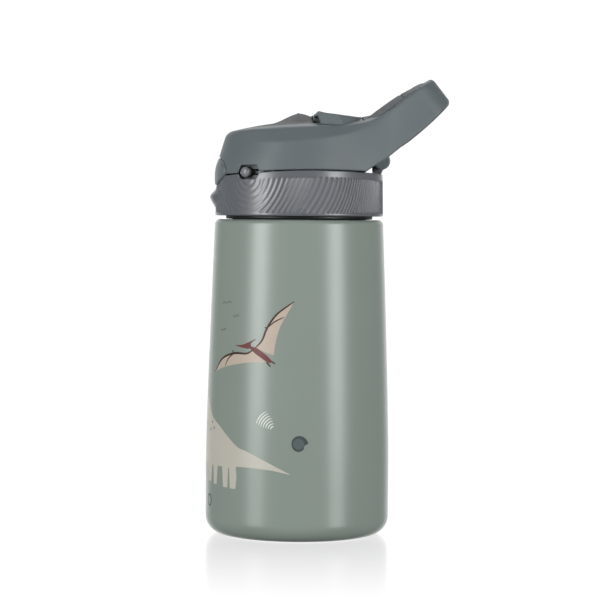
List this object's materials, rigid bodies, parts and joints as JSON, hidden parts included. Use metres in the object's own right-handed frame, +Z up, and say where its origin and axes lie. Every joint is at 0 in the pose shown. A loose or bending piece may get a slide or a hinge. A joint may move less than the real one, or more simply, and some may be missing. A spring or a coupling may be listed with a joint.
{
  "type": "kids water bottle",
  "caption": "Insulated steel bottle for children with a screw-on lid, push-button flip cover, folding spout with straw, sliding lock and carry loop.",
  "frame": {"origin": "centre of the flat face that the bottle stands on, on the bottle's axis", "axes": "+Z up along the bottle's axis; the push button faces -X; the hinge and carry loop are on +X; Y runs across the lid, parallel to the hinge pin"},
  "size_m": [0.0944, 0.0722, 0.1791],
  "materials": {
    "body_paint": "satin powder coat, sage green",
    "bare_steel": "brushed 304 stainless steel",
    "getter_alloy": "sintered pellet",
    "clear_silicone": "translucent food-grade silicone",
    "collar_plastic": "moulded, fine grip ribs",
    "dark_plastic": "moulded, near black",
    "pin_steel": "drawn stainless wire",
    "inner_plastic": "moulded",
    "straw_plastic": "extruded, milky",
    "button_plastic": "moulded, satin",
    "knob_plastic": "moulded, satin",
    "lid_plastic": "moulded, satin, grey-blue",
    "insert_plastic": "moulded, satin, grey-blue",
    "grip_rubber": "soft-touch overmould, grey"
  },
  "bodies": {
    "bottle": {"outer_shell": "body_paint", "neck_thread": "bare_steel", "inner_liner": "bare_steel", "base_plate": "bare_steel", "getter": "getter_alloy"},
    "gasket": {"neck_gasket": "clear_silicone"},
    "lid_base": {"collar": "collar_plastic", "thread_core": "dark_plastic", "core_thread": "dark_plastic", "hinge_pin": "pin_steel", "spout_socket": "inner_plastic", "straw": "straw_plastic", "vent_valve": "clear_silicone", "lock_plate": "dark_plastic", "button_spring": "pin_steel"},
    "button": {"push_button": "button_plastic"},
    "lock": {"lock_slider": "knob_plastic"},
    "spout": {"spout_arm": "inner_plastic", "bite_tip": "clear_silicone"},
    "cover": {"cover_shell": "lid_plastic", "top_insert": "insert_plastic", "grip_insert": "grip_rubber", "cover_liner": "inner_plastic", "tip_seal": "clear_silicone", "hinge_spring": "pin_steel"}
  },
  "joints": [
    {"name": "lid_lift", "type": "slide", "parent": "bottle", "child": "gasket", "axis": [0, 0, 1], "range_m": [0, 0.006]},
    {"name": "lid_turn", "type": "hinge", "parent": "gasket", "child": "lid_base", "pos_m": [0, 0, 0.1248], "axis": [0, 0, 1], "range_deg": [0, 541]},
    {"name": "cover_open", "type": "hinge", "parent": "lid_base", "child": "cover", "pos_m": [0.0318, 0, 0.1463], "axis": [0, 1, 0], "range_deg": [0, 100]},
    {"name": "spout_fold", "type": "hinge", "parent": "lid_base", "child": "spout", "pos_m": [0.012, 0, 0.1493], "axis": [0, 1, 0], "range_deg": [0, 88]},
    {"name": "button_press", "type": "slide", "parent": "lid_base", "child": "button", "axis": [1, 0, 0], "range_m": [0, 0.0015], "stiffness_N_per_m": 400, "deforming": ["button_spring"]},
    {"name": "lock_slide", "type": "hinge", "parent": "lid_base", "child": "lock", "pos_m": [0, 0, 0.1415], "axis": [0, 0, 1], "range_deg": [0, 7]}
  ],
  "couplings": [
    {"joint": "lid_turn", "follows": "lid_lift", "rad_per_m": 1570.8},
    {"joint": "spout_fold", "follows": "cover_open", "ratio": 0.87}
  ]
}
